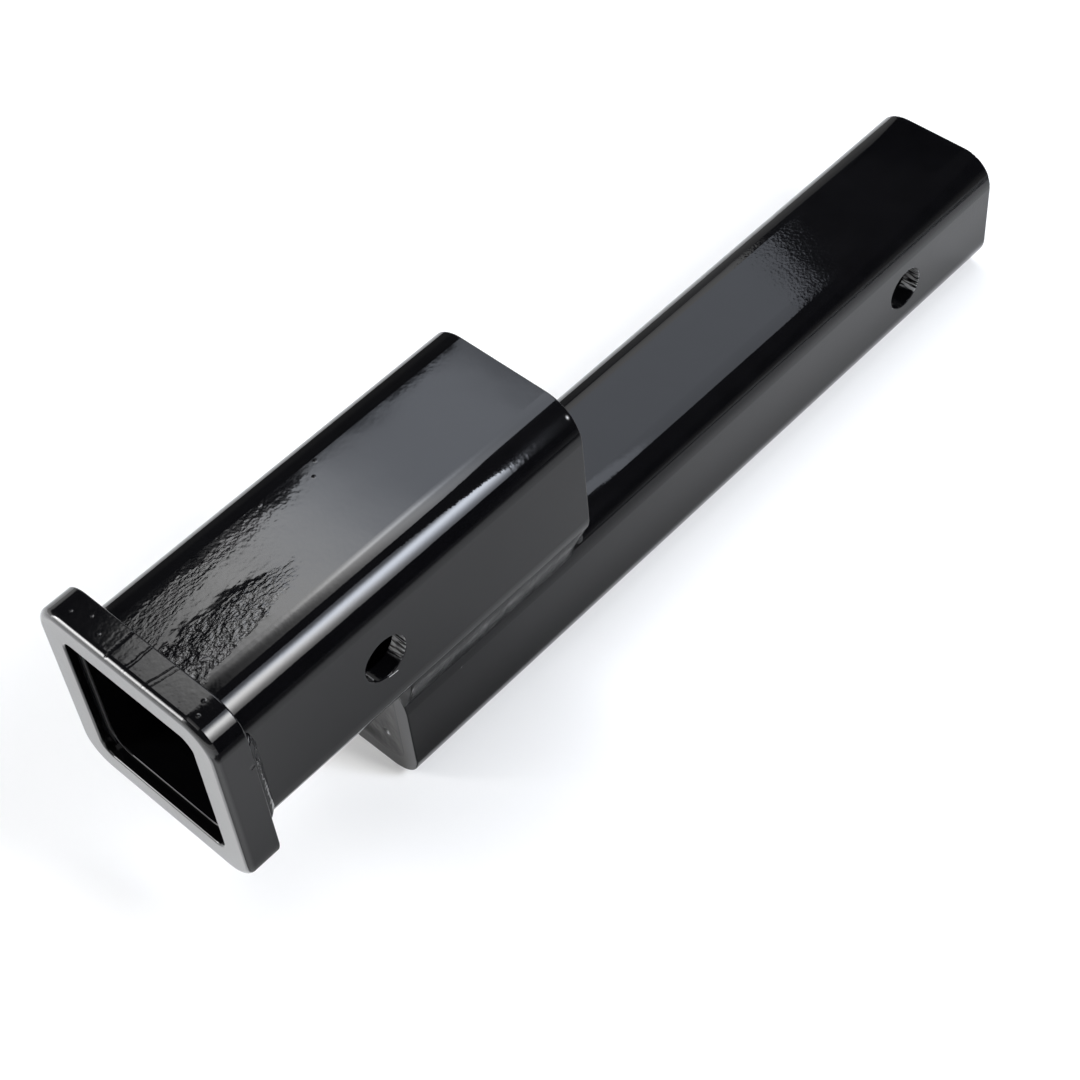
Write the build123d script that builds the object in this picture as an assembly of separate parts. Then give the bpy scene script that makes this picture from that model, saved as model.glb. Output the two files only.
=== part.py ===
from build123d import *

import math
import os

# Hitch receiver extender: a square receiver tube with a mouth collar, welded on top of a longer,
# smaller square shank. Millimetres. X runs along both tubes, from the receiver's mouth (low X)
# to the end of the shank that enters the vehicle's own receiver (high X). Z is up.
# The origin is on the floor plane that the shank rests on, midway along and midway across.

# Receiver tube
receiver_side = 63.5
receiver_wall = 5.8
receiver_corner = 14.0
receiver_length = 151.0
receiver_pin_setback = 66.7  # mouth to the pin hole's axis

# Collar round the mouth
collar_wall = 6.2  # outside the pocket that holds the tube
collar_thickness = 12.0
collar_corner = 11.5
collar_front_round = 2.4
collar_back_round = 0.6
collar_lip = 3.5  # depth of the lip that covers the receiver tube's end
collar_fit = 0.15  # clearance between the collar's pocket and the tube
mouth_step = 1.75  # ledge of tube end that shows inside the mouth
mouth_corner = 4.6
mouth_round = 0.7

# Shank tube
shank_side = 50.8
shank_wall = 6.35
shank_corner = 12.5
shank_length = 304.8
shank_setback = 74.5  # mouth to the shank's near end
shank_pin_inset = 50.0  # far end to the pin hole's axis

# Plate that closes the shank's near end
cap_thickness = 6.35
cap_recess = 0.8
cap_fit = 0.15
cap_weld_width = 2.2
cap_weld_gap = 0.3  # rim of bore left bare beside the weld's outer edge

# Pin holes and eased edges
pin_hole_diameter = 16.4
pin_hole_round = 0.4
tube_end_round = 0.5

# Long beads in the flared grooves between the two tubes
seam_rise = 9.7  # joint plane up to the toe on the receiver
seam_drop = 8.9  # joint plane down to the toe on the shank
seam_root = 5.4  # shank's side in to the bead's root
seam_toe = 0.35  # thickness of the bead's upper and lower edges
seam_crown = 0.6
seam_end_round = 4.0

# Short beads across the tube ends and behind the collar
end_weld_leg = 4.5
end_weld_inset = 1.2  # shank's side in to the end bead's outer face
end_weld_round = 1.5
collar_weld_leg = 4.2
collar_weld_length = 38.0
collar_weld_crown = 0.35
weld_overlap = 1.5  # depth that a bead's blank starts below the surface it is trimmed to

# Stations along X, heights and outer sizes, worked out from the sizes above
pocket_side = receiver_side + 2 * collar_fit
collar_side = pocket_side + 2 * collar_wall
mouth_side = receiver_side - 2 * receiver_wall + 2 * mouth_step
mouth_x = -(shank_setback + shank_length) / 2
receiver_front_x = mouth_x + collar_lip
receiver_back_x = receiver_front_x + receiver_length
collar_back_x = mouth_x + collar_thickness
shank_near_x = mouth_x + shank_setback
shank_far_x = shank_near_x + shank_length
receiver_pin_x = mouth_x + receiver_pin_setback
shank_pin_x = shank_far_x - shank_pin_inset
shank_axis_z = shank_side / 2
joint_z = shank_side
receiver_axis_z = joint_z + receiver_side / 2


def square_bar(side, corner, x_start, x_end, axis_z):
    """A solid bar of rounded square section along X."""
    plane = Plane(origin=(x_start, 0, axis_z), x_dir=(0, 1, 0), z_dir=(1, 0, 0))
    return extrude(plane * RectangleRounded(side, side, corner), x_end - x_start)


def receiver_bar():
    """The receiver tube's outside as a solid bar, which the welds are trimmed to."""
    return square_bar(
        receiver_side, receiver_corner, receiver_front_x, receiver_back_x, receiver_axis_z
    )


def shank_bar():
    """The shank tube's outside as a solid bar, which the welds are trimmed to."""
    return square_bar(shank_side, shank_corner, shank_near_x, shank_far_x, shank_axis_z)


def pin_hole(x, axis_z, side):
    """A cross hole's cutter, along Y and through both walls."""
    return Pos(x, 0, axis_z) * Rot(90, 0, 0) * Cylinder(pin_hole_diameter / 2, 2 * side)


def half_width(side, corner, height):
    """Half the width of a rounded square section at a height above or below its axis."""
    straight = side / 2 - corner
    beyond = max(abs(height) - straight, 0)
    return straight + math.sqrt(corner**2 - beyond**2)


def square_tube(side, wall, corner, x_start, x_end, axis_z, pin_x):
    """A square tube with a cross pin hole, its ends and hole edges slightly eased."""
    outside = square_bar(side, corner, x_start, x_end, axis_z)
    bore = square_bar(side - 2 * wall, corner - wall, x_start, x_end, axis_z)
    tube = outside - bore
    end_edges = tube.edges().group_by(Axis.X)[0] + tube.edges().group_by(Axis.X)[-1]
    tube = fillet(end_edges, tube_end_round)
    tube = tube - pin_hole(pin_x, axis_z, side)
    rims = tube.edges().filter_by(GeomType.CIRCLE).filter_by(
        lambda edge: abs(edge.radius - pin_hole_diameter / 2) < 0.01
        and abs(abs(edge.arc_center.Y) - side / 2) < 0.01
    )
    return fillet(rims, pin_hole_round)


def receiver_tube():
    return square_tube(
        receiver_side, receiver_wall, receiver_corner,
        receiver_front_x, receiver_back_x, receiver_axis_z, receiver_pin_x,
    )


def shank_tube():
    return square_tube(
        shank_side, shank_wall, shank_corner,
        shank_near_x, shank_far_x, shank_axis_z, shank_pin_x,
    )


def receiver_collar():
    """A square ring round the tube's front, with a lip that covers the tube's end face."""
    ring = square_bar(collar_side, collar_corner, mouth_x, collar_back_x, receiver_axis_z)
    ring = fillet(ring.faces().sort_by(Axis.X)[0].edges(), collar_front_round)
    ring = fillet(ring.faces().sort_by(Axis.X)[-1].edges(), collar_back_round)
    mouth = square_bar(mouth_side, mouth_corner, mouth_x, receiver_front_x, receiver_axis_z)
    ring = ring - mouth
    mouth_rim = ring.faces().sort_by(Axis.X)[0].inner_wires()[0].edges()
    ring = fillet(mouth_rim, mouth_round)
    pocket_corner = receiver_corner + collar_fit
    pocket = square_bar(pocket_side, pocket_corner, receiver_front_x, collar_back_x, receiver_axis_z)
    return ring - pocket


def shank_end_cap():
    """The plate inside the shank's near end, set back by a small recess."""
    side = shank_side - 2 * (shank_wall + cap_fit)
    corner = shank_corner - shank_wall - cap_fit
    x_start = shank_near_x + cap_recess
    return square_bar(side, corner, x_start, x_start + cap_thickness, shank_axis_z)


def end_cap_weld():
    """A shallow ring of weld that slopes from the shank's bore down to the cap's face."""
    bore_side = shank_side - 2 * shank_wall
    bore_corner = shank_corner - shank_wall
    ring = square_bar(
        bore_side, bore_corner, shank_near_x, shank_near_x + cap_recess, shank_axis_z
    )
    slopes = []
    for x, inset in ((shank_near_x, cap_weld_gap), (shank_near_x + cap_recess, cap_weld_width)):
        plane = Plane(origin=(x, 0, shank_axis_z), x_dir=(0, 1, 0), z_dir=(1, 0, 0))
        side = bore_side - 2 * inset
        slopes.append(plane * RectangleRounded(side, side, bore_corner - inset))
    return ring - loft(slopes)


def seam_weld(hand):
    """The long bead on one side, hand +1 for left (+Y) and -1 for right, with rounded ends."""
    receiver_toe = seam_toe + half_width(
        receiver_side, receiver_corner, receiver_side / 2 - seam_rise
    )
    shank_toe = seam_toe + half_width(shank_side, shank_corner, shank_side / 2 - seam_drop)
    top = joint_z + seam_rise
    bottom = joint_z - seam_drop
    root = shank_side / 2 - seam_root
    middle = (top + bottom) / 2
    crown = (receiver_toe + shank_toe) / 2 + seam_crown
    plane = Plane(origin=(shank_near_x, 0, 0), x_dir=(0, 1, 0), z_dir=(1, 0, 0))
    outline = [
        ThreePointArc((hand * receiver_toe, top), (hand * crown, middle), (hand * shank_toe, bottom)),
        Polyline(
            (hand * shank_toe, bottom),
            (hand * root, bottom),
            (hand * root, top),
            (hand * receiver_toe, top),
        ),
    ]
    run = receiver_back_x - shank_near_x
    bead = extrude(plane * make_face(outline), run)
    side_view = RectangleRounded(run, top - bottom, seam_end_round)
    side_view = Plane.XZ * Pos(shank_near_x + run / 2, middle) * side_view
    bead = bead & extrude(side_view, receiver_side, both=True)
    return bead - receiver_bar() - shank_bar()


def end_weld(outline, trimmed_to):
    """A bead along Y from an outline in X and Z, trimmed to the bar that it lies on."""
    reach = shank_side / 2 - end_weld_inset
    bead = extrude(Plane.XZ * make_face(Polyline(*outline, close=True)), reach, both=True)
    bead = fillet(bead.edges().filter_by(Axis.Z), end_weld_round)
    return bead - trimmed_to


def receiver_end_weld():
    """The bead across the receiver's far end, which wraps down over the shank's corners."""
    outline = [
        (receiver_back_x, joint_z + end_weld_leg),
        (receiver_back_x + end_weld_leg, joint_z),
        (receiver_back_x + end_weld_leg, joint_z - seam_drop),
        (receiver_back_x, joint_z - seam_drop),
    ]
    return end_weld(outline, shank_bar())


def shank_end_weld():
    """The bead across the shank's near end, which wraps up round the receiver's corners."""
    outline = [
        (shank_near_x, joint_z - end_weld_leg),
        (shank_near_x - end_weld_leg, joint_z),
        (shank_near_x - end_weld_leg, joint_z + seam_rise),
        (shank_near_x, joint_z + seam_rise),
    ]
    return end_weld(outline, receiver_bar())


def collar_weld(hand):
    """The short upright bead behind the collar on one side of the receiver."""
    surface = receiver_side / 2
    middle = (collar_back_x + collar_weld_leg / 2, surface + collar_weld_leg / 2)
    crown = (middle[0] + collar_weld_crown, middle[1] + collar_weld_crown)
    outline = [
        ThreePointArc(
            (collar_back_x, hand * (surface + collar_weld_leg)),
            (crown[0], hand * crown[1]),
            (collar_back_x + collar_weld_leg, hand * surface),
        ),
        Polyline(
            (collar_back_x + collar_weld_leg, hand * surface),
            (collar_back_x + collar_weld_leg, hand * (surface - weld_overlap)),
            (collar_back_x, hand * (surface - weld_overlap)),
            (collar_back_x, hand * (surface + collar_weld_leg)),
        ),
    ]
    plane = Plane(origin=(0, 0, receiver_axis_z))
    bead = extrude(plane * make_face(outline), collar_weld_length / 2, both=True)
    return bead - receiver_bar()


pieces = {
    "receiver_tube": receiver_tube(),
    "receiver_collar": receiver_collar(),
    "shank_tube": shank_tube(),
    "shank_end_cap": shank_end_cap(),
    "end_cap_weld": end_cap_weld(),
    "seam_weld_right": seam_weld(-1),
    "seam_weld_left": seam_weld(1),
    "receiver_end_weld": receiver_end_weld(),
    "shank_end_weld": shank_end_weld(),
    "collar_weld_right": collar_weld(-1),
    "collar_weld_left": collar_weld(1),
}

os.makedirs("parts", exist_ok=True)
for name, piece in pieces.items():
    export_step(piece, f"parts/{name}.step")
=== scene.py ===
import math

import bmesh
import bpy
from mathutils import Matrix, Vector, noise


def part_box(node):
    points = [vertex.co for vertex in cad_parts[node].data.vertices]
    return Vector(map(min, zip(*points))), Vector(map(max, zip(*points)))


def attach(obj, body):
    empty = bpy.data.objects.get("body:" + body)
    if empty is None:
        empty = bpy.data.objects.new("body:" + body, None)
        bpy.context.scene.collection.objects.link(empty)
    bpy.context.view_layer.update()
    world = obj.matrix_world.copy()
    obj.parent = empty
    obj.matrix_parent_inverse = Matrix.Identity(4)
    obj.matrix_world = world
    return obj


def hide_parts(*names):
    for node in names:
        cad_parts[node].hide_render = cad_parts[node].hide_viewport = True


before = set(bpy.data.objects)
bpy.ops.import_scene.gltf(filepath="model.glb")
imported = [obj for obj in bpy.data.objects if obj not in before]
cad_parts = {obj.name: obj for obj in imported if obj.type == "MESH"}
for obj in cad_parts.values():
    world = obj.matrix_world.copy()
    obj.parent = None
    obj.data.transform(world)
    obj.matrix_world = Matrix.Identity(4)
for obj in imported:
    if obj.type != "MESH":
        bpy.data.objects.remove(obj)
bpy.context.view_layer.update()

# A gloss black hitch receiver extender on a white table under studio softboxes.
# Every length is in millimetres until a mesh or an object is made, and MM turns it into metres.
MM = 0.001


def node_box(name):
    """A CAD node's lowest and highest corners in millimetres."""
    low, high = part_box(name)
    return low / MM, high / MM


receiver_low, receiver_high = node_box("receiver_tube")
collar_low, collar_high = node_box("receiver_collar")
shank_low, shank_high = node_box("shank_tube")
seam_low, seam_high = node_box("seam_weld_left")
collar_bead_low, collar_bead_high = node_box("collar_weld_right")

# Sections of the two tubes, as the solids have them
receiver_corner = 14.0
shank_corner = 12.5
joint_z = shank_high.z

# Camera, as it stood for the photograph
camera_place = Vector((-354.03, -360.53, 620.61))
camera_aim = Vector((-44.20, -17.29, 50.80))
camera_roll = -6.672
camera_lens = 76.23

# White table, pale wall round it, and over it the roof of the tent that paints dark reflections
floor_radius = 4000.0
wall_height = 1250.0
tent_height = 4000.0
floor_white = 0.84

# Glow added to the table, which rises to full white between two distances from the middle
floor_glow = 0.19
glow_start = 450.0
glow_full = 1600.0

# Light, with the places along X where a softbox turns from white to its tint
lamp_level = 1.45
white_light = (1.0, 1.0, 1.0, 1.0)
cool_light = (0.94, 1.0, 1.12, 1.0)
dim_light = (0.04, 0.04, 0.043, 1.0)
no_light = (0.0, 0.0, 0.0, 1.0)
tint_start = 280.0
tint_end = 520.0

# Outlines of the softboxes, whose edges show as the edges of the reflections on the paint
ceiling_z = 1200.0
overhead_outline = (
    (150, -150), (400, -165), (455, -60), (570, -60), (600, -240), (868, -260),
    (868, 0), (900, 310), (945, 500), (1010, 690), (1052, 775), (1022, 850),
    (652, 850), (640, 828), (452, 828), (410, 813), (319, 811), (208, 804), (196, 795), (160, 792),
)
roof_outline = ((-650, -450), (40, -450), (40, 450), (-650, 450))
far_outline = ((700, 850), (1020, 850), (1513, 1830), (1030, 1830))
right_outline = ((100, -1200, 470), (531, -1200, 470), (945, -1200, 2440), (100, -1200, 2440))
left_outline = ((-1565, 782, 100), (-1115, 1318, 100), (-1115, 1318, 1700), (-1565, 782, 1700))

# A net on the floor that paints the part's shadow and a darker far floor into reflections, and cards
# round the part that paint dark and grey reflections, whose reach is in degrees from +X
painted_shadow_net_outline = ((-320, -330, 1), (420, -330, 1), (420, -28, 1), (-320, -28, 1))
dark_reflection_card_radius = 320.0
dark_reflection_card_height = 200.0
dark_reflection_card_reach = (-115.0, 25.0)
grey_reflection_card_radius = 650.0
grey_reflection_card_height = 340.0
grey_reflection_card_reach = (25.0, 90.0)

# Gloss black powder coat, with each finish's smoothest and roughest value
paint_dark = (0.0018, 0.0018, 0.0022, 1.0)
paint_light = (0.0032, 0.0032, 0.0038, 1.0)
paint_ior = 1.38
coat_ior = 1.54
coat_roughness = 0.2
tube_roughness = (0.035, 0.07)
collar_roughness = (0.04, 0.08)
weld_roughness = (0.14, 0.26)
smear_range = (0.3, 0.75)

# Weld over the plate in the shank's near end
bore_half = 19.05
bore_corner = 6.15
cap_overlap = 0.7
cap_slope = 6.5
cap_depth = 0.4
cap_pit = (-12.2, 17.45)
# The nib on the weld's face, which also gets a painted glint of bare-steel grey
cap_nib_and_glint = (-12.9, 17.0)
cap_blend = (15.0, 19.5)

# Long bead between the tubes
seam_end_round = 4.0
seam_taper = 7.0
seam_near_round = 0.3
seam_near_taper = 0.4
seam_toe = 0.02
seam_lip = 0.25
seam_crown = 0.4
seam_root = 20.0

# Bead behind the collar, swollen past the solid's outline
collar_bead_swell = 1.1

# Rough paint on the receiver's top, as lines in x and y
wedge_top = ((-173.0, 0.5), (-130.0, -3.5))
wedge_foot = ((-173.0, -18.0), (-130.0, -11.0))
ridge_line = ((-173.0, -8.5), (-130.0, -7.0))
strip_foot = ((-172.0, 3.6), (-137.0, 11.0))

# Left wall of the receiver's bore, where the paint at the mouth is dull
mouth_dull_y = 25.6

# Cross holes, and places where the paint is off
hole_radius = 8.2
hole_places = ((-122.95, 82.55), (139.65, 25.4))
# Grey of bare steel, also used as a painted glint on the near-end weld
bare_steel_and_glint = (0.6, 0.6, 0.6, 1.0)
rim_scratch = ((-123.1, 73.5), (-119.4, 73.1))
corner_chip = (-36.7, 110.3)

# Specks in the paint, and lines across the collar's top: start, end, half width and depth
top_nibs = ((-99.0, 16.7), (-103.5, 12.4), (-121.2, 17.0))
side_nibs = ((-91.0, 38.5), (132.0, 21.5))
collar_nibs = ((-184.7, 25.5), (-182.1, 19.5), (-184.9, 13.1), (-180.9, -26.6), (-185.2, -29.1))
collar_pit = (-178.9, 96.8)
collar_pit_nib = (-178.6, 95.9)
collar_lines = (
    ((-189.0, 5.7), (-178.0, 6.0), 0.4, 0.1),
    ((-189.0, -1.1), (-178.0, -1.3), 0.25, 0.022),
    ((-189.0, -2.4), (-178.0, -2.2), 0.25, 0.022),
    ((-189.0, -9.7), (-178.0, -12.0), 0.3, 0.022),
    ((-189.0, -11.5), (-178.0, -13.6), 0.25, 0.014),
)


# Meshes

def add_mesh(name, vertices, faces, smooth=True):
    """A mesh object from vertices in millimetres."""
    mesh = bpy.data.meshes.new(name)
    mesh.from_pydata([Vector(v) * MM for v in vertices], [], faces)
    mesh.update()
    mesh.polygons.foreach_set("use_smooth", [smooth] * len(mesh.polygons))
    piece = bpy.data.objects.new(name, mesh)
    bpy.context.scene.collection.objects.link(piece)
    return piece


def circle(radius, z, segments=96):
    """Points round the Z axis."""
    turns = [2 * math.pi * i / segments for i in range(segments)]
    return [(radius * math.cos(turn), radius * math.sin(turn), z) for turn in turns]


def ripple(point, size, seed):
    """Smooth noise between about -1 and 1 at a point in millimetres."""
    return noise.noise(Vector(point) / size + Vector((seed, seed * 1.7, seed * 2.3)))


def half_width(side, corner, height):
    """Half the width of a rounded square section at a height above or below its axis."""
    straight = side / 2 - corner
    beyond = max(abs(height) - straight, 0.0)
    return straight + math.sqrt(max(corner**2 - beyond**2, 0.0))


def tube_surface(z):
    """Distance from the middle plane to the outside of whichever tube is at this height."""
    if z >= joint_z:
        side = receiver_high.y - receiver_low.y
        return half_width(side, receiver_corner, z - (receiver_low.z + receiver_high.z) / 2)
    side = shank_high.y - shank_low.y
    return half_width(side, shank_corner, z - (shank_low.z + shank_high.z) / 2)


# Shader graphs

class Graph:
    """A material's node tree, with short calls for the nodes that the finishes need."""

    def __init__(self, name):
        self.material = bpy.data.materials.new(name)
        self.material.use_nodes = True
        self.tree = self.material.node_tree
        self.tree.nodes.clear()
        self.output = self.tree.nodes.new("ShaderNodeOutputMaterial")

    def add(self, kind, output=0, settings=None, **inputs):
        """A node with its settings and inputs, where an input is a value or another socket."""
        made = self.tree.nodes.new(kind)
        for name, value in (settings or {}).items():
            setattr(made, name, value)
        for name, value in inputs.items():
            self.put(made, name.replace("_", " "), value)
        return made.outputs[output]

    def put(self, made, name, value):
        socket = made.inputs[int(name)] if name.isdigit() else made.inputs[name]
        if isinstance(value, bpy.types.NodeSocket):
            self.tree.links.new(value, socket)
        else:
            socket.default_value = value

    def math(self, operation, first, second=0.0):
        made = self.tree.nodes.new("ShaderNodeMath")
        made.operation = operation
        self.put(made, "0", first)
        self.put(made, "1", second)
        return made.outputs[0]

    def ramp(self, value, start, end, low=0.0, high=1.0):
        """A smooth step from low to high as the value goes from start to end."""
        made = self.tree.nodes.new("ShaderNodeMapRange")
        made.interpolation_type = "SMOOTHSTEP"
        for name, number in (("Value", value), ("From Min", start), ("From Max", end),
                             ("To Min", low), ("To Max", high)):
            self.put(made, name, number)
        return made.outputs[0]

    def band(self, value, middle, width):
        """A bell of height 1 round the middle."""
        offset = self.math("DIVIDE", self.math("SUBTRACT", value, middle), width)
        square = self.math("MULTIPLY", offset, offset)
        return self.math("POWER", math.e, self.math("MULTIPLY", square, -1.0))

    def millimetres(self):
        """The surface point in millimetres, as a vector and as x, y and z."""
        point = self.add("ShaderNodeTexCoord", output=3)
        made = self.tree.nodes.new("ShaderNodeVectorMath")
        made.operation = "SCALE"
        self.put(made, "Vector", point)
        self.put(made, "Scale", 1 / MM)
        parts = self.tree.nodes.new("ShaderNodeSeparateXYZ")
        self.tree.links.new(made.outputs[0], parts.inputs[0])
        return made.outputs[0], parts.outputs

    def sum(self, *terms):
        total = terms[0]
        for term in terms[1:]:
            total = self.math("ADD", total, term)
        return total

    def product(self, *factors):
        result = factors[0]
        for factor in factors[1:]:
            result = self.math("MULTIPLY", result, factor)
        return result

    def mix(self, share, first, second):
        """A colour that goes from the first to the second as the share goes from 0 to 1."""
        return self.add("ShaderNodeMix", output=2, settings={"data_type": "RGBA"},
                        **{"0": share, "6": first, "7": second})

    def beyond(self, first, second, start, end):
        """A straight line's offset: second less the line's value at first, line from start to end."""
        slope = (end[1] - start[1]) / (end[0] - start[0])
        line = self.sum(self.math("MULTIPLY", first, slope), start[1] - slope * start[0])
        return self.math("SUBTRACT", second, line)

    def dot(self, first, second, place, radius):
        """A round bell of height 1 at a place in two of the coordinates."""
        return self.product(self.band(first, place[0], radius), self.band(second, place[1], radius))

    def noise(self, point, size, detail=2.0, stretch=(1.0, 1.0, 1.0)):
        """Noise between 0 and 1 whose lumps are about the given size in millimetres."""
        mapped = self.add("ShaderNodeMapping", Vector=point, Scale=[1 / (size * s) for s in stretch])
        return self.add("ShaderNodeTexNoise", Vector=mapped, Scale=1.0, Detail=detail)

    def surface(self, shader):
        self.tree.links.new(shader, self.output.inputs["Surface"])
        return self.material

    def glow(self, colour, strength):
        return self.surface(self.add("ShaderNodeEmission", Color=colour, Strength=strength))


def gloss_paint(graph, height, roughness, sheen=0.0, bare_and_glint=0.0, shine=0.5):
    """Gloss black powder coat with a height map in millimetres, bare steel grey where it is off, and a
    painted glint of the same grey on the near-end weld.
    """
    point, _ = graph.millimetres()
    mottle = graph.noise(point, 9.0, detail=1.0)
    colour = graph.mix(mottle, paint_dark, paint_light)
    colour = graph.mix(bare_and_glint, colour, bare_steel_and_glint)
    bump = graph.add("ShaderNodeBump", Strength=1.0, Distance=MM, Height=height)
    paint = graph.tree.nodes.new("ShaderNodeBsdfPrincipled")
    graph.put(paint, "Base Color", colour)
    graph.put(paint, "Roughness", roughness)
    graph.put(paint, "IOR", paint_ior)
    graph.put(paint, "Specular IOR Level", shine)
    graph.put(paint, "Normal", bump)
    graph.put(paint, "Coat Weight", sheen)
    graph.put(paint, "Coat Normal", bump)
    graph.put(paint, "Coat Roughness", coat_roughness)
    graph.put(paint, "Coat IOR", coat_ior)
    return paint.outputs[0]


def orange_peel(graph, point, strength=1.0, calm=1.0):
    """The faint waviness of sprayed powder coat, in millimetres, its fine part times calm."""
    fine = graph.product(graph.noise(point, 1.7, detail=1.0), 0.008 * strength, calm)
    broad = graph.product(graph.noise(point, 16.0, detail=1.0), 0.035 * strength)
    return graph.sum(fine, broad)


def receiver_ripples(graph, point, x, y):
    """Rough paint on the receiver's top: a wedge behind the collar, and a strip by the left edge."""
    lumps = graph.sum(graph.noise(point, 1.0, detail=2.5, stretch=(1.8, 1.0, 1.0)), -0.5)
    stray = graph.sum(graph.noise(point, 4.5, detail=2.0, stretch=(1.6, 1.0, 1.0)), -0.5)
    y = graph.sum(y, graph.product(stray, 6.0))
    below = graph.ramp(graph.beyond(x, y, *wedge_top), -1.5, 0.5, 1.0, 0.0)
    above = graph.ramp(graph.beyond(x, y, *wedge_foot), -0.5, 1.2)
    wedge = graph.product(below, above, graph.ramp(x, -155.0, -122.0, 1.0, 0.0))
    strip = graph.product(graph.ramp(graph.beyond(x, y, *strip_foot), -0.5, 1.5),
                          graph.ramp(y, 13.0, 16.0, 1.0, 0.0),
                          graph.ramp(x, -150.0, -118.0, 1.0, 0.0))
    rough = graph.sum(graph.product(wedge, 0.2), graph.product(strip, 0.045))
    broad = graph.sum(graph.noise(point, 3.4, detail=2.0, stretch=(2.2, 1.0, 1.0)), -0.5)
    patches = graph.product(broad, wedge, 0.3)
    ridge = graph.product(graph.band(graph.beyond(x, y, *ridge_line), 0.0, 6.0),
                          graph.ramp(x, -158.0, -122.0, 0.2, 0.0))
    return graph.sum(graph.product(lumps, rough), patches, ridge)


def drill_marks(graph, point, x, z):
    """Streaks along the cross holes' walls as a height, and the share of thin paint on the far sides."""
    streaks = graph.noise(point, 0.55, detail=1.0, stretch=(9.0, 9.0, 1.0))
    inside = []
    far_side = []
    for middle_x, middle_z in hole_places:
        across = graph.sum(x, -middle_x)
        up = graph.sum(z, -middle_z)
        away = graph.math("SQRT", graph.sum(graph.product(across, across), graph.product(up, up)))
        wall = graph.ramp(away, hole_radius + 0.05, hole_radius + 0.2, 1.0, 0.0)
        inside.append(wall)
        far_side.append(graph.product(wall, graph.ramp(across, 4.5, 6.5)))
    thin = graph.product(graph.sum(*far_side), graph.ramp(streaks, 0.42, 0.6), 0.6)
    return graph.product(streaks, graph.sum(*inside), 0.05), thin


def bare_places(graph, x, y, z):
    """Where the paint is off: a scratch under the receiver's cross hole, and a chip at its far end."""
    (start_x, _), (end_x, _) = rim_scratch
    scratch = graph.product(graph.band(graph.beyond(x, z, *rim_scratch), 0.0, 0.14),
                            graph.ramp(x, start_x - 0.3, start_x + 0.2),
                            graph.ramp(x, end_x - 0.4, end_x + 0.1, 1.0, 0.0))
    chip = graph.dot(x, z, corner_chip, 0.35)
    on_right = graph.ramp(y, -25.0, -26.0)
    return graph.product(graph.sum(scratch, chip), on_right)


def tube_paint():
    graph = Graph("tube gloss black")
    point, (x, y, z) = graph.millimetres()
    on_top = graph.ramp(z, receiver_high.z - 1.5, receiver_high.z - 0.3)
    ripples = graph.product(receiver_ripples(graph, point, x, y), on_top)
    nibs = graph.sum(*(graph.product(graph.dot(x, y, place, 0.35), 0.12) for place in top_nibs))
    calm = graph.math("SUBTRACT", 1.0, graph.product(graph.ramp(x, -125.0, -95.0, 0.0, 0.65), on_top))
    height = graph.sum(orange_peel(graph, point, calm=calm), ripples, graph.product(nibs, on_top))
    on_right = graph.ramp(y, shank_low.y + 1.0, shank_low.y + 0.2)
    side_spots = graph.sum(*(graph.product(graph.dot(x, z, place, 0.4), 0.15) for place in side_nibs))
    height = graph.sum(height, graph.product(side_spots, on_right))
    dusty = graph.product(graph.noise(point, 1.1, detail=2.0), graph.ramp(x, 60.0, 100.0, 0.0, 0.014))
    marks, thin = drill_marks(graph, point, x, z)
    bare_and_glint = graph.sum(bare_places(graph, x, y, z), thin)
    height = graph.sum(height, dusty, marks)
    smear = graph.noise(point, 30.0, detail=2.0)
    dull_edge = graph.product(graph.ramp(x, receiver_low.x + 0.9, receiver_low.x + 0.5),
                              graph.ramp(y, mouth_dull_y - 1.0, mouth_dull_y), 0.5)
    roughness = graph.sum(graph.ramp(smear, *smear_range, *tube_roughness), dull_edge)
    return graph.surface(gloss_paint(graph, height, roughness, bare_and_glint=bare_and_glint))


def collar_paint():
    graph = Graph("collar gloss black")
    point, (x, y, z) = graph.millimetres()
    runs = graph.product(graph.noise(point, 2.6, detail=2.0), 0.018)
    height = graph.sum(orange_peel(graph, point), runs)
    on_top = graph.ramp(z, collar_high.z - 1.0, collar_high.z - 0.2)
    stray = graph.sum(y, graph.product(graph.noise(point, 3.0, detail=2.0), 0.8), -0.4)
    lines = graph.sum(*(graph.product(graph.band(graph.beyond(x, stray, start, end), 0.0, width), -depth)
                        for start, end, width, depth in collar_lines))
    nibs = graph.sum(*(graph.product(graph.dot(x, y, place, 0.4), 0.2) for place in collar_nibs))
    height = graph.sum(height, graph.product(graph.sum(lines, nibs), on_top))
    on_right = graph.ramp(y, collar_low.y + 1.0, collar_low.y + 0.4)
    pit = graph.sum(graph.product(graph.dot(x, z, collar_pit, 0.6), -0.7),
                    graph.product(graph.dot(x, z, collar_pit_nib, 0.35), 0.3))
    height = graph.sum(height, graph.product(pit, on_right))
    front = graph.ramp(x, collar_low.x + 2.4, collar_low.x + 0.6)
    smear = graph.noise(point, 30.0, detail=2.0)
    roughness = graph.ramp(smear, *smear_range, *collar_roughness)
    return graph.surface(gloss_paint(graph, height, roughness, sheen=front))


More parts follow.
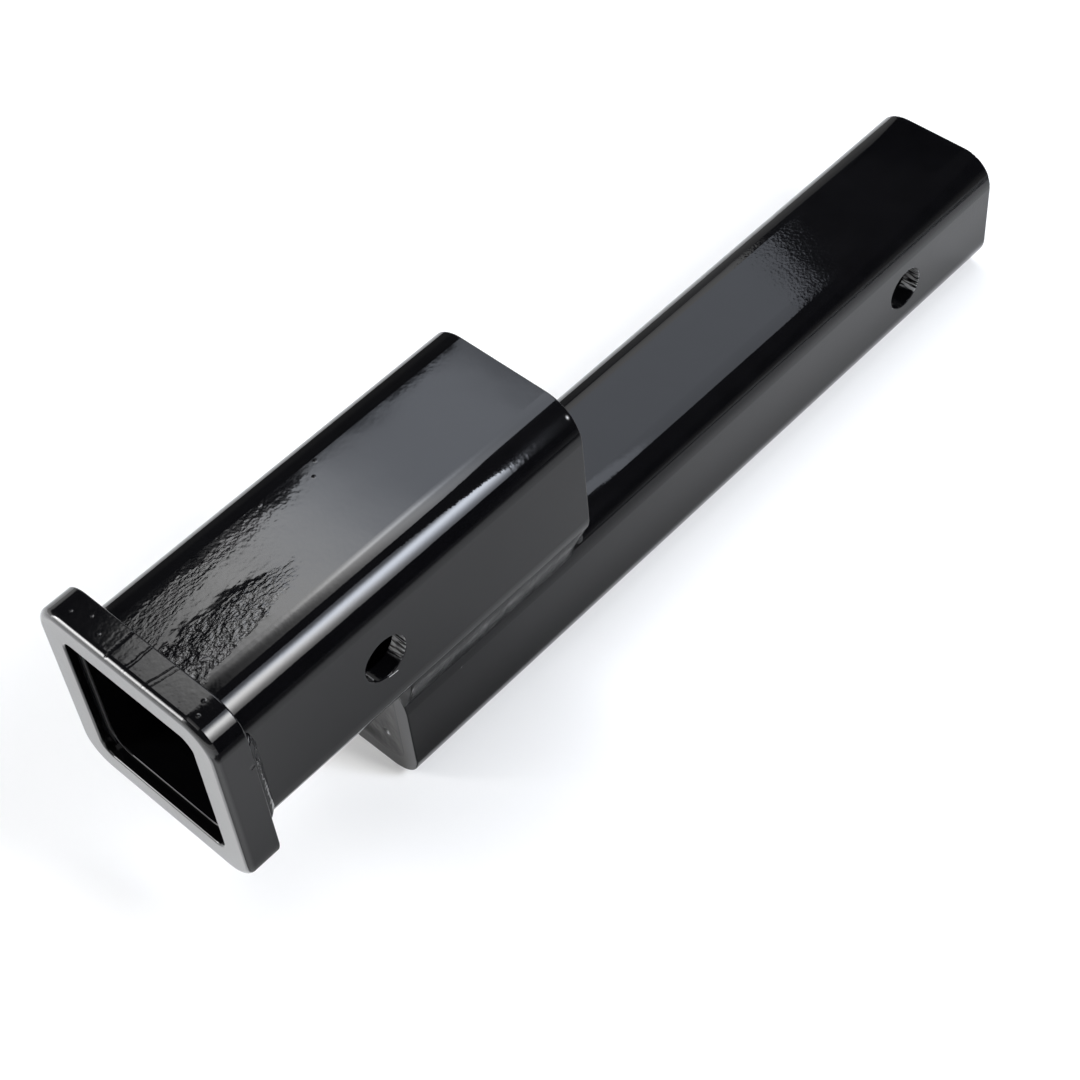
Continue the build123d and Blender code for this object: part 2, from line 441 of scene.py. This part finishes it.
def weld_paint(name, shine):
    graph = Graph(name)
    point, (x, y, z) = graph.millimetres()
    on_face = graph.ramp(x, shank_low.x + 1.6, shank_low.x + 1.1)
    # Painted glint: a dot of bare-steel grey on the nib in the near-end weld's face
    bare_and_glint = graph.product(graph.dot(y, z, cap_nib_and_glint, 0.7), on_face)
    height = orange_peel(graph, point, strength=1.5)
    smear = graph.noise(point, 6.0, detail=3.0)
    middle_z = (shank_low.z + shank_high.z) / 2
    from_middle = graph.math("MAXIMUM", graph.math("ABSOLUTE", y),
                             graph.math("ABSOLUTE", graph.sum(z, -middle_z)))
    rim = graph.product(on_face, graph.ramp(from_middle, *cap_blend))
    smoother = graph.math("SUBTRACT", 1.0, graph.product(rim, 0.75))
    roughness = graph.product(graph.ramp(smear, *smear_range, *weld_roughness), smoother)
    return graph.surface(gloss_paint(graph, height, roughness, bare_and_glint=bare_and_glint, shine=shine))


# Welds

def seam_bead(hand):
    """The long bead on one side: hand +1 for left (+Y) and -1 for right."""
    name = "seam_weld_left" if hand > 0 else "seam_weld_right"
    stations = 300
    rows = 44
    pitch = 2.6
    wave_height = 0.006
    lump_height = 0.03
    least_share = 0.12
    sunk_into_tube = 0.05
    start = seam_low.x
    run = seam_high.x - start
    outer = []
    inner = []
    for i in range(stations + 1):
        along = run * i / stations
        near = along < run / 2
        edge = along if near else run - along
        end_round = seam_near_round if near else seam_end_round
        inset = max(end_round - edge, 0.0)
        trim = end_round - math.sqrt(end_round**2 - inset**2)
        full_run = seam_near_taper if near else seam_taper
        thin = math.sqrt(max(1.0 - (1.0 - min(edge / full_run, 1.0)) ** 2, 0.0))
        top = seam_high.z - trim - 0.15 * abs(ripple((along, 0, 0), 11.0, 3 + hand))
        bottom = seam_low.z + trim + 0.2 * abs(ripple((along, 9, 0), 9.0, 5 + hand))
        receiver_toe = tube_surface(top) + seam_toe
        shank_toe = tube_surface(bottom) + seam_toe
        for j in range(rows + 1):
            share = 0.5 - 0.5 * math.cos(math.pi * j / rows)
            z = bottom + (top - bottom) * share
            bow = 1.0 - (2.0 * share - 1.0) ** 2
            upper_lip = min((top - z) / seam_lip, 1.0)
            lower_lip = min((z - bottom) / seam_lip, 1.0)
            skin = shank_toe + (receiver_toe - shank_toe) * share + seam_crown * bow
            skin -= seam_toe * (1.0 - upper_lip)
            skin -= seam_toe * (1.0 - math.sqrt(1.0 - (1.0 - lower_lip) ** 2))
            inside = max(tube_surface(z) - sunk_into_tube, seam_root)
            if abs(z - joint_z) < 0.01:
                inside = seam_root
            inside = min(inside, skin - 0.02)
            phase = (along + 1.4 * bow) / pitch + 0.6 * ripple((along, 0, 0), 8.0, 7 + hand)
            wave = wave_height * math.cos(2 * math.pi * phase) * bow
            lump = lump_height * ripple((along * 0.5, 0, z), 6.0, 11 + hand)
            skin += (wave + lump) * min(1.0, 4 * bow)
            outer.append((start + along, hand * (inside + (skin - inside) * max(thin, least_share)), z))
            inner.append((start + along, hand * inside, z))
    row = rows + 1
    count = len(outer)
    faces = []
    for i in range(stations):
        for j in range(rows):
            a = i * row + j
            quad = (a, a + 1, a + row + 1, a + row)
            faces.append(quad if hand < 0 else quad[::-1])
            back = tuple(count + v for v in quad)
            faces.append(back[::-1] if hand < 0 else back)
    for j in range(rows):
        for a, flip in ((j, hand < 0), (stations * row + j, hand > 0)):
            quad = (a, a + count, a + 1 + count, a + 1)
            faces.append(quad if flip else quad[::-1])
    for i in range(stations):
        for a, flip in ((i * row, hand > 0), (i * row + rows, hand < 0)):
            quad = (a, a + count, a + row + count, a + row)
            faces.append(quad if flip else quad[::-1])
    return add_mesh(name + "_bead", outer + inner, faces)


def remeshed(node_name, voxel, smoothing):
    """A fine, softened copy of a CAD node's mesh as a new object."""
    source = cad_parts[node_name]
    draft = bpy.data.objects.new(node_name + "_draft", source.data.copy())
    bpy.context.scene.collection.objects.link(draft)
    change = draft.modifiers.new("even grid", "REMESH")
    change.mode = "VOXEL"
    change.voxel_size = voxel * MM
    graph = bpy.context.evaluated_depsgraph_get()
    mesh = bpy.data.meshes.new_from_object(draft.evaluated_get(graph))
    bpy.data.objects.remove(draft)
    shape = bmesh.new()
    shape.from_mesh(mesh)
    for _ in range(smoothing):
        bmesh.ops.smooth_vert(shape, verts=shape.verts, factor=0.5,
                              use_axis_x=True, use_axis_y=True, use_axis_z=True)
    shape.to_mesh(mesh)
    shape.free()
    mesh.materials.clear()
    mesh.polygons.foreach_set("use_smooth", [True] * len(mesh.polygons))
    piece = bpy.data.objects.new(node_name + "_bead", mesh)
    bpy.context.scene.collection.objects.link(piece)
    return piece


def push(piece, depth):
    """Moves each vertex along its normal by depth(point), both in millimetres."""
    mesh = piece.data
    moves = [vertex.normal * depth(vertex.co / MM) * MM for vertex in mesh.vertices]
    for vertex, move in zip(mesh.vertices, moves):
        vertex.co += move
    mesh.update()


def end_bead(node_name, seed):
    """A rippled bead across a tube's end."""
    piece = remeshed(node_name, voxel=0.35, smoothing=5)

    def depth(point):
        phase = point.y / 2.4 + 0.7 * ripple(point, 7.0, seed)
        return 0.06 * math.cos(2 * math.pi * phase) + 0.16 * ripple(point, 4.0, seed + 1) - 0.05

    push(piece, depth)
    return piece


def collar_bead(node_name, seed):
    """The short bead behind the collar, with a pit near its top."""
    piece = remeshed(node_name, voxel=0.3, smoothing=4)
    side = collar_bead_low.y if node_name.endswith("right") else -collar_bead_low.y
    pit = Vector((collar_bead_high.x - 2.2, side * 0.95, collar_bead_high.z - 5.5))

    def depth(point):
        away = math.hypot(point.x - pit.x, (point.z - pit.z) * 0.45)
        crater = -0.9 * math.exp(-((away / 0.8) ** 2))
        speck = 0.5 * math.exp(-(((point - pit).length / 0.5) ** 2))
        phase = point.z / 2.2 + 0.7 * ripple(point, 6.0, seed)
        wrinkle = 0.06 * ripple((point.x * 1.6, point.y * 1.6, point.z * 0.5), 1.7, seed + 2)
        ends = min((collar_bead_high.z - point.z) / 4.0, (point.z - collar_bead_low.z) / 4.0, 1.0)
        return (crater + speck + wrinkle + collar_bead_swell * max(ends, 0.0)
                + 0.015 * math.cos(2 * math.pi * phase) + 0.1 * ripple(point, 3.0, seed + 1))

    push(piece, depth)
    return piece


def rounded_square(half, corner, turn):
    """The outline's point in the direction of a turn in radians, as y and z from the middle."""
    y, z = abs(math.cos(turn)), abs(math.sin(turn))
    reach = half / max(y, z)
    straight = half - corner
    if min(y, z) * reach > straight:
        along = straight * (y + z)
        reach = along + math.sqrt(along**2 - 2 * straight**2 + corner**2)
    return math.cos(turn) * reach, math.sin(turn) * reach


def cap_bead():
    """Weld washed over the plate in the shank's near end, nearly flush, with one pit."""
    rings = 64
    spokes = 320
    half = bore_half + cap_overlap
    middle_z = (shank_low.z + shank_high.z) / 2
    rim_below_end = 0.03
    rim_rise = 0.05
    deepest = 0.76
    back_depth = 0.78
    front = []
    back = []
    for i in range(rings + 1):
        share = i / rings
        for j in range(spokes):
            y, z = rounded_square(half, bore_corner + cap_overlap, 2 * math.pi * j / spokes)
            y, z = y * share, middle_z + z * share
            edge = half * (1.0 - share)
            lip = min(edge / cap_overlap, 1.0)
            sunk = min(max((edge - 1.5) / (cap_slope + 1.5 * ripple((0, y, z), 8.0, 61)), 0.0), 1.0)
            sunk = cap_depth * sunk * sunk * (3.0 - 2.0 * sunk)
            lump = 0.2 * ripple((3, y, z), 6.0, 63) + 0.04 * ripple((5, y, z), 1.6, 65)
            lump += 0.07 * ripple((7, y, z * 0.25), 2.4, 67)
            pit = 0.5 * math.exp(-((math.hypot(y - cap_pit[0], z - cap_pit[1]) / 0.75) ** 2))
            nib = 0.5 * math.exp(-((math.hypot(y - cap_nib_and_glint[0], z - cap_nib_and_glint[1]) / 0.45) ** 2))
            x = shank_low.x + rim_below_end - rim_rise * math.sqrt(1.0 - (1.0 - lip) ** 2)
            x += sunk + pit - nib - lump * lip * min(edge / 4.0, 1.0)
            front.append((min(x, shank_low.x + deepest), y, z))
            rim_back = max(x, shank_low.x) + 0.02
            back.append((rim_back if share == 1.0 else shank_low.x + back_depth, y, z))
    count = len(front)
    faces = []
    for i in range(rings):
        for j in range(spokes):
            a = i * spokes + j
            b = i * spokes + (j + 1) % spokes
            quad = (a, a + spokes, b + spokes, b)
            faces.append(quad[::-1])
            faces.append(tuple(count + v for v in quad))
    for j in range(spokes):
        a = rings * spokes + j
        b = rings * spokes + (j + 1) % spokes
        faces.append((a, b, b + count, a + count))
    return add_mesh("end_cap_weld_bead", front + back, faces)


# Stage

def seen_share(tree):
    """1 for a ray from the camera, a reflection or a clear material, and 0 for the part's light."""
    path = tree.nodes.new("ShaderNodeLightPath")
    seen = path.outputs["Is Camera Ray"]
    for name in ("Is Glossy Ray", "Is Transmission Ray"):
        either = tree.nodes.new("ShaderNodeMath")
        either.operation = "MAXIMUM"
        tree.links.new(seen, either.inputs[0])
        tree.links.new(path.outputs[name], either.inputs[1])
        seen = either.outputs[0]
    return seen


def floor():
    """A white table top, paler to camera and reflections than its light makes it, clear from below."""
    rim = circle(floor_radius, 0.0)
    piece = add_mesh("floor", rim, [tuple(range(len(rim)))], smooth=False)
    graph = Graph("white table")
    _, (x, y, _) = graph.millimetres()
    away = graph.math("SQRT", graph.sum(graph.product(x, x), graph.product(y, y)))
    rise = graph.ramp(away, glow_start, glow_full, floor_glow, 1.0)
    glow = graph.add("ShaderNodeEmission", Color=white_light,
                     Strength=graph.product(seen_share(graph.tree), rise))
    white = graph.add("ShaderNodeBsdfDiffuse", Color=(floor_white, floor_white, floor_white, 1.0))
    lit = graph.add("ShaderNodeAddShader", **{"0": white, "1": glow})
    clear = graph.add("ShaderNodeBsdfTransparent")
    below = graph.add("ShaderNodeNewGeometry", output=6)
    both = graph.add("ShaderNodeMixShader", **{"0": below, "1": lit, "2": clear})
    piece.data.materials.append(graph.surface(both))


def arc_wall(name, radius, height, material, start=0.0, end=360.0):
    """An upright wall round the part, from one direction to another in degrees from +X."""
    segments = 96
    points = []
    for i in range(segments + 1):
        turn = math.radians(start + (end - start) * i / segments)
        for z in (0.0, height):
            points.append((radius * math.cos(turn), radius * math.sin(turn), z))
    faces = [(2 * i, 2 * i + 1, 2 * i + 3, 2 * i + 2) for i in range(segments)]
    piece = add_mesh(name, points, faces)
    piece.data.materials.append(material)
    return piece


def pale_wall():
    """A white wall at the floor's rim, which the camera and the paint see as the background."""
    arc_wall("backdrop", floor_radius, wall_height, Graph("pale wall").glow(white_light, 1.0))


def mirror_glow(graph, colour, strength):
    """A glow that only reflections meet, kept out of the lights that Cycles aims rays at."""
    material = graph.glow(colour, strength)
    material.cycles.emission_sampling = "NONE"
    return material


def see_through(graph, share):
    """See-through black, covering the given share with clear air between, with which the cards and the
    net paint dark reflections and shadow.
    """
    clear = graph.add("ShaderNodeBsdfTransparent")
    dark = graph.add("ShaderNodeEmission", Color=no_light, Strength=0.0)
    return graph.surface(graph.add("ShaderNodeMixShader", **{"0": share, "1": clear, "2": dark}))


def only_in_reflections(piece):
    """Hides a piece from the camera, from the light on the part and from shadows."""
    piece.visible_camera = False
    piece.visible_diffuse = False
    piece.visible_shadow = False


def cards():
    """Cards and a net that only reflections show: the cards paint dark and grey reflections round the
    part, and the net paints the part's shadow on the floor into the gloss black.
    """
    # Painted dark reflection: the black card, thinner near the floor at high X.
    graph = Graph("dark reflection card")
    _, (x, _, z) = graph.millimetres()
    thin = graph.product(graph.ramp(z, 0.0, 110.0, 0.6, 0.0), graph.ramp(x, 40.0, 200.0))
    black = see_through(graph, graph.math("SUBTRACT", 1.0, thin))
    # Painted reflection: the grey card glows at 0.4, falling to 0.08 between 50 and 68 degrees from +X.
    graph = Graph("grey reflection card")
    _, (x, y, _) = graph.millimetres()
    shade = graph.ramp(graph.math("ARCTAN2", y, x), math.radians(50.0), math.radians(68.0), 0.4, 0.08)
    grey = mirror_glow(graph, white_light, shade)
    # Painted shadow seen only in reflections: the net darkens the floor beside the part towards low X
    # and at its foot, and more along the slant out to the far floor.
    graph = Graph("painted shadow net")
    _, (x, y, _) = graph.millimetres()
    away = graph.product(y, -1.0)
    slant = graph.sum(away, graph.product(x, -0.3))
    painted_shadow_beside = graph.product(graph.ramp(away, 30.0, 110.0, 0.36, 0.0),
                           graph.ramp(x, -110.0, 190.0, 1.0, 0.0))
    painted_shadow_at_foot = graph.ramp(away, 28.0, 44.0, 0.24, 0.0)
    near = graph.ramp(slant, 10.0, 110.0, 0.0, 0.3)
    far = graph.ramp(slant, 170.0, 240.0, 0.0, 0.62)
    net = see_through(graph, graph.sum(near, far, painted_shadow_beside, painted_shadow_at_foot))
    painted_shadow_sheet = add_mesh("painted_shadow_net", painted_shadow_net_outline, [(0, 1, 2, 3)], smooth=False)
    painted_shadow_sheet.data.materials.append(net)
    dark_reflection_card = arc_wall("dark_reflection_card", dark_reflection_card_radius, dark_reflection_card_height, black, *dark_reflection_card_reach)
    grey_reflection_card = arc_wall("grey_reflection_card", grey_reflection_card_radius, grey_reflection_card_height, grey, *grey_reflection_card_reach)
    for card in (painted_shadow_sheet, dark_reflection_card, grey_reflection_card):
        only_in_reflections(card)


def dark_reflection_tent():
    """A dark tent roof over the softboxes, which only reflections show: its dim glow paints dark
    reflections in place of the white sky.
    """
    rim = circle(floor_radius, wall_height)
    faces = [(i, (i + 1) % len(rim), len(rim)) for i in range(len(rim))]
    tent = add_mesh("dark_reflection_tent", rim + [(0, 0, tent_height)], faces)
    tent.data.materials.append(mirror_glow(Graph("dark reflection tent"), dim_light, 1.0))
    only_in_reflections(tent)


def studio_world():
    """Dim light on the part, and white where the camera or a reflection looks past the stage."""
    world = bpy.data.worlds.new("studio")
    world.use_nodes = True
    tree = world.node_tree
    colour = tree.nodes.new("ShaderNodeMix")
    colour.data_type = "RGBA"
    tree.links.new(seen_share(tree), colour.inputs[0])
    colour.inputs[6].default_value = dim_light
    colour.inputs[7].default_value = white_light
    tree.links.new(colour.outputs[2], tree.nodes["Background"].inputs["Color"])
    bpy.context.scene.world = world


def softbox(name, corners, strength, tint=white_light):
    """A glowing panel. Its strength is worked out from the place, and it turns to the tint at high X."""
    panel = add_mesh(name, corners, [tuple(range(len(corners)))], smooth=False)
    graph = Graph(name + " glow")
    _, place = graph.millimetres()
    level = graph.product(strength(graph, place), lamp_level)
    colour = graph.mix(graph.ramp(place[0], tint_start, tint_end), white_light, tint)
    panel.data.materials.append(graph.glow(colour, level))
    panel.visible_camera = False


def at_ceiling(outline):
    return [(x, y, ceiling_z) for x, y in outline]


def overhead_strength(graph, place):
    """Brightest over the collar, with a hot patch, and dimmer towards its low X and low Y corner."""
    x, y, _ = place
    base = graph.sum(graph.ramp(x, 340.0, 505.0, 5.3, 2.45), graph.ramp(x, 605.0, 650.0, 0.0, -0.93))
    corner = graph.ramp(graph.sum(x, graph.product(y, 0.33)), 200.0, 440.0, 0.3, 1.0)
    rim = graph.ramp(x, 150.0, 320.0, 0.35, 1.0)
    patch = graph.product(graph.band(x, 355.0, 85.0), graph.band(y, 425.0, 85.0), 5.5)
    return graph.sum(graph.product(base, corner, rim), patch)


def roof_strength(graph, place):
    """Dimmer towards high X. It shows on the tops of the tubes when they are seen from above."""
    return graph.ramp(place[0], -650.0, 40.0, 1.1, 0.6)


def far_strength(graph, place):
    """Dimmer towards high Y, along the left corners' reflections."""
    return graph.ramp(place[1], 860.0, 1830.0, 1.4, 0.7)


def right_strength(graph, place):
    """A bright band across the middle, which is the streak along the receiver's right corner."""
    _, _, z = place
    return graph.sum(graph.product(graph.band(z, 1230.0, 430.0), 15.0), 1.5)


def left_strength(graph, place):
    """A bright band across the middle that fades out at both ends, and is dimmer at low X."""
    x, _, z = place
    low_end = graph.ramp(x, -1565.0, -1440.0, 0.1, 1.0)
    low_part = graph.ramp(x, -1300.0, -1230.0, 0.5, 1.0)
    high_end = graph.ramp(x, -1225.0, -1120.0, 1.0, 0.15)
    level = graph.sum(graph.product(graph.band(z, 950.0, 420.0), 15.5), 2.2)
    return graph.product(level, low_part, low_end, high_end)


def lights():
    softbox("overhead_softbox", at_ceiling(overhead_outline), overhead_strength, cool_light)
    softbox("roof_softbox", at_ceiling(roof_outline), roof_strength)
    softbox("far_softbox", at_ceiling(far_outline), far_strength)
    softbox("right_softbox", right_outline, right_strength, cool_light)
    softbox("left_softbox", left_outline, left_strength)


def camera():
    data = bpy.data.cameras.new("camera")
    data.sensor_width = 36.0
    data.lens = camera_lens
    data.clip_start = 0.01
    data.clip_end = 20.0
    eye = bpy.data.objects.new("camera", data)
    bpy.context.scene.collection.objects.link(eye)
    look = (camera_aim - camera_place).to_track_quat("-Z", "Y").to_matrix().to_4x4()
    eye.matrix_world = (Matrix.Translation(camera_place * MM) @ look
                        @ Matrix.Rotation(math.radians(camera_roll), 4, "Z"))
    bpy.context.scene.camera = eye


def dress():
    """Paints the CAD nodes that show as they are, and puts beads in the place of the welds."""
    tube = tube_paint()
    collar = collar_paint()
    weld = weld_paint("weld gloss black", shine=0.37)
    long_weld = weld_paint("long weld gloss black", shine=0.15)
    for name, finish in (("receiver_tube", tube), ("shank_tube", tube), ("shank_end_cap", tube),
                         ("receiver_collar", collar)):
        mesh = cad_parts[name].data
        mesh.materials.clear()
        mesh.materials.append(finish)
    beads = {
        "seam_weld_right": seam_bead(-1),
        "seam_weld_left": seam_bead(1),
        "receiver_end_weld": end_bead("receiver_end_weld", 17),
        "shank_end_weld": end_bead("shank_end_weld", 23),
        "collar_weld_right": collar_bead("collar_weld_right", 41),
        "collar_weld_left": collar_bead("collar_weld_left", 47),
        "end_cap_weld": cap_bead(),
    }
    for name, bead in beads.items():
        bead.data.materials.append(long_weld if name.startswith("seam") else weld)
        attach(bead, "root")
        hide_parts(name)


bpy.context.scene.view_settings.view_transform = "Standard"
camera()
floor()
pale_wall()
cards()
dark_reflection_tent()
studio_world()
lights()
dress()
